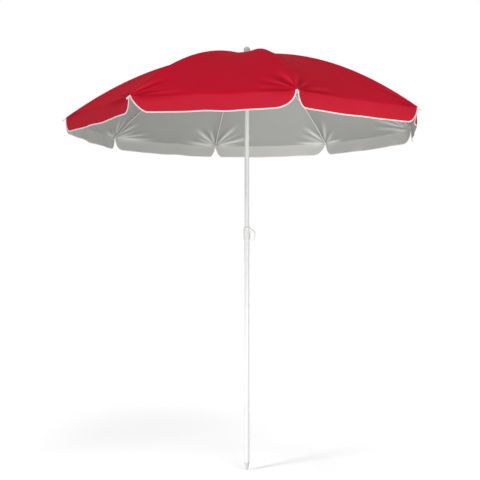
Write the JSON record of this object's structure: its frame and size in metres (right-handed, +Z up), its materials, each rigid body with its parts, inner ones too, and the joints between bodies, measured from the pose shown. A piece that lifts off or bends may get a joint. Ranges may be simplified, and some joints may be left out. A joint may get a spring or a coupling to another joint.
{
  "type": "beach umbrella",
  "caption": "Folding beach umbrella: telescoping white pole with ground spike and lever clamp, ribbed red canopy with silver inside and white-edged valance.",
  "frame": {"origin": "tip of the ground spike, on the pole's axis", "axes": "+Z up along the pole, +X towards the clamp lever, -Y the front"},
  "size_m": [1.6574, 1.6574, 1.9993],
  "materials": {
    "white_paint": "satin white powder coat",
    "white_plastic": "satin moulded white plastic",
    "grey_plastic": "matt pale grey moulded plastic",
    "steel": "bright zinc-plated steel",
    "canopy_fabric": "matt red woven polyester, silver-grey coated inside, white binding"
  },
  "bodies": {
    "lower_pole": {"ground_spike": "grey_plastic", "lower_tube": "white_paint", "clamp_collar": "white_plastic", "lever_pin": "steel"},
    "clamp_lever": {"clamp_lever": "white_plastic"},
    "upper_pole": {"upper_tube": "white_paint", "crown_hub": "white_plastic", "crown_ring": "steel", "finial": "grey_plastic", "catch_spring": "steel"},
    "catch": {"catch_button": "steel"},
    "runner": {"runner": "white_plastic", "runner_ring": "steel"},
    "rib_1": {"rib_1": "white_paint", "rib_tip_1": "white_plastic", "rib_joint_1": "steel", "canopy_1": "canopy_fabric"},
    "stretcher_1": {"stretcher_1": "white_paint"},
    "rib_2": {"rib_2": "white_paint", "rib_tip_2": "white_plastic", "rib_joint_2": "steel", "canopy_2": "canopy_fabric"},
    "stretcher_2": {"stretcher_2": "white_paint"},
    "rib_3": {"rib_3": "white_paint", "rib_tip_3": "white_plastic", "rib_joint_3": "steel", "canopy_3": "canopy_fabric"},
    "stretcher_3": {"stretcher_3": "white_paint"},
    "rib_4": {"rib_4": "white_paint", "rib_tip_4": "white_plastic", "rib_joint_4": "steel", "canopy_4": "canopy_fabric"},
    "stretcher_4": {"stretcher_4": "white_paint"},
    "rib_5": {"rib_5": "white_paint", "rib_tip_5": "white_plastic", "rib_joint_5": "steel", "canopy_5": "canopy_fabric"},
    "stretcher_5": {"stretcher_5": "white_paint"},
    "rib_6": {"rib_6": "white_paint", "rib_tip_6": "white_plastic", "rib_joint_6": "steel", "canopy_6": "canopy_fabric"},
    "stretcher_6": {"stretcher_6": "white_paint"},
    "rib_7": {"rib_7": "white_paint", "rib_tip_7": "white_plastic", "rib_joint_7": "steel", "canopy_7": "canopy_fabric"},
    "stretcher_7": {"stretcher_7": "white_paint"},
    "rib_8": {"rib_8": "white_paint", "rib_tip_8": "white_plastic", "rib_joint_8": "steel", "canopy_8": "canopy_fabric"},
    "stretcher_8": {"stretcher_8": "white_paint"}
  },
  "joints": [
    {"name": "pole_slide", "type": "slide", "parent": "lower_pole", "child": "upper_pole", "axis": [0, 0, 1], "range_m": [-0.2, 0]},
    {"name": "lever_hinge", "type": "hinge", "parent": "lower_pole", "child": "clamp_lever", "pos_m": [0.0155, 0, 1.1314], "axis": [0, -1, 0], "range_deg": [0, 75]},
    {"name": "catch_press", "type": "slide", "parent": "upper_pole", "child": "catch", "axis": [0.1702, 0.9854, 0], "range_m": [0, 0.0031], "stiffness_N_per_m": 900, "springref_m": -0.002, "deforming": ["catch_spring"]},
    {"name": "rib_fold_1", "type": "hinge", "parent": "upper_pole", "child": "rib_1", "pos_m": [0.02146, 0.00484, 1.95064], "axis": [-0.2198, 0.9755, 0], "range_deg": [0, 65], "deforming": ["canopy_1"]},
    {"name": "stretcher_fold_1", "type": "hinge", "parent": "rib_1", "child": "stretcher_1", "pos_m": [0.29096, 0.06557, 1.90501], "axis": [-0.2198, 0.9755, 0], "range_deg": [-131, 1]},
    {"name": "rib_fold_2", "type": "hinge", "parent": "upper_pole", "child": "rib_2", "pos_m": [0.01176, 0.0186, 1.95064], "axis": [-0.8453, 0.5344, 0], "range_deg": [-0.5, 65.5], "deforming": ["canopy_2"]},
    {"name": "stretcher_fold_2", "type": "hinge", "parent": "rib_2", "child": "stretcher_2", "pos_m": [0.15937, 0.25211, 1.90501], "axis": [-0.8453, 0.5344, 0], "range_deg": [-131, 1]},
    {"name": "rib_fold_3", "type": "hinge", "parent": "upper_pole", "child": "rib_3", "pos_m": [-0.00484, 0.02146, 1.95064], "axis": [-0.9755, -0.2198, 0], "range_deg": [-0.5, 65.5], "deforming": ["canopy_3"]},
    {"name": "stretcher_fold_3", "type": "hinge", "parent": "rib_3", "child": "stretcher_3", "pos_m": [-0.06557, 0.29096, 1.90501], "axis": [-0.9755, -0.2198, 0], "range_deg": [-131, 1]},
    {"name": "rib_fold_4", "type": "hinge", "parent": "upper_pole", "child": "rib_4", "pos_m": [-0.0186, 0.01176, 1.95064], "axis": [-0.5344, -0.8453, 0], "range_deg": [-0.5, 65.5], "deforming": ["canopy_4"]},
    {"name": "stretcher_fold_4", "type": "hinge", "parent": "rib_4", "child": "stretcher_4", "pos_m": [-0.25211, 0.15937, 1.90501], "axis": [-0.5344, -0.8453, 0], "range_deg": [-131, 1]},
    {"name": "rib_fold_5", "type": "hinge", "parent": "upper_pole", "child": "rib_5", "pos_m": [-0.02146, -0.00484, 1.95064], "axis": [0.2198, -0.9755, 0], "range_deg": [-0.5, 65.5], "deforming": ["canopy_5"]},
    {"name": "stretcher_fold_5", "type": "hinge", "parent": "rib_5", "child": "stretcher_5", "pos_m": [-0.29096, -0.06557, 1.90501], "axis": [0.2198, -0.9755, 0], "range_deg": [-131, 1]},
    {"name": "rib_fold_6", "type": "hinge", "parent": "upper_pole", "child": "rib_6", "pos_m": [-0.01176, -0.0186, 1.95064], "axis": [0.8453, -0.5344, 0], "range_deg": [-0.5, 65.5], "deforming": ["canopy_6"]},
    {"name": "stretcher_fold_6", "type": "hinge", "parent": "rib_6", "child": "stretcher_6", "pos_m": [-0.15937, -0.25211, 1.90501], "axis": [0.8453, -0.5344, 0], "range_deg": [-131, 1]},
    {"name": "rib_fold_7", "type": "hinge", "parent": "upper_pole", "child": "rib_7", "pos_m": [0.00484, -0.02146, 1.95064], "axis": [0.9755, 0.2198, 0], "range_deg": [-0.5, 65.5], "deforming": ["canopy_7"]},
    {"name": "stretcher_fold_7", "type": "hinge", "parent": "rib_7", "child": "stretcher_7", "pos_m": [0.06557, -0.29096, 1.90501], "axis": [0.9755, 0.2198, 0], "range_deg": [-131, 1]},
    {"name": "rib_fold_8", "type": "hinge", "parent": "upper_pole", "child": "rib_8", "pos_m": [0.0186, -0.01176, 1.95064], "axis": [0.5344, 0.8453, 0], "range_deg": [-0.5, 65.5], "deforming": ["canopy_8"]},
    {"name": "stretcher_fold_8", "type": "hinge", "parent": "rib_8", "child": "stretcher_8", "pos_m": [0.25211, -0.15937, 1.90501], "axis": [0.5344, 0.8453, 0], "range_deg": [-131, 1]},
    {"name": "runner_travel", "type": "hinge", "parent": "stretcher_1", "child": "runner", "pos_m": [0.02146, 0.00484, 1.85939], "axis": [-0.2198, 0.9755, 0], "range_deg": [-0.5, 65.5]}
  ],
  "couplings": [
    {"joint": "stretcher_fold_1", "follows": "rib_fold_1", "ratio": -2},
    {"joint": "rib_fold_2", "follows": "rib_fold_1", "ratio": 1},
    {"joint": "stretcher_fold_2", "follows": "rib_fold_1", "ratio": -2},
    {"joint": "rib_fold_3", "follows": "rib_fold_1", "ratio": 1},
    {"joint": "stretcher_fold_3", "follows": "rib_fold_1", "ratio": -2},
    {"joint": "rib_fold_4", "follows": "rib_fold_1", "ratio": 1},
    {"joint": "stretcher_fold_4", "follows": "rib_fold_1", "ratio": -2},
    {"joint": "rib_fold_5", "follows": "rib_fold_1", "ratio": 1},
    {"joint": "stretcher_fold_5", "follows": "rib_fold_1", "ratio": -2},
    {"joint": "rib_fold_6", "follows": "rib_fold_1", "ratio": 1},
    {"joint": "stretcher_fold_6", "follows": "rib_fold_1", "ratio": -2},
    {"joint": "rib_fold_7", "follows": "rib_fold_1", "ratio": 1},
    {"joint": "stretcher_fold_7", "follows": "rib_fold_1", "ratio": -2},
    {"joint": "rib_fold_8", "follows": "rib_fold_1", "ratio": 1},
    {"joint": "stretcher_fold_8", "follows": "rib_fold_1", "ratio": -2},
    {"joint": "runner_travel", "follows": "rib_fold_1", "ratio": 1}
  ]
}
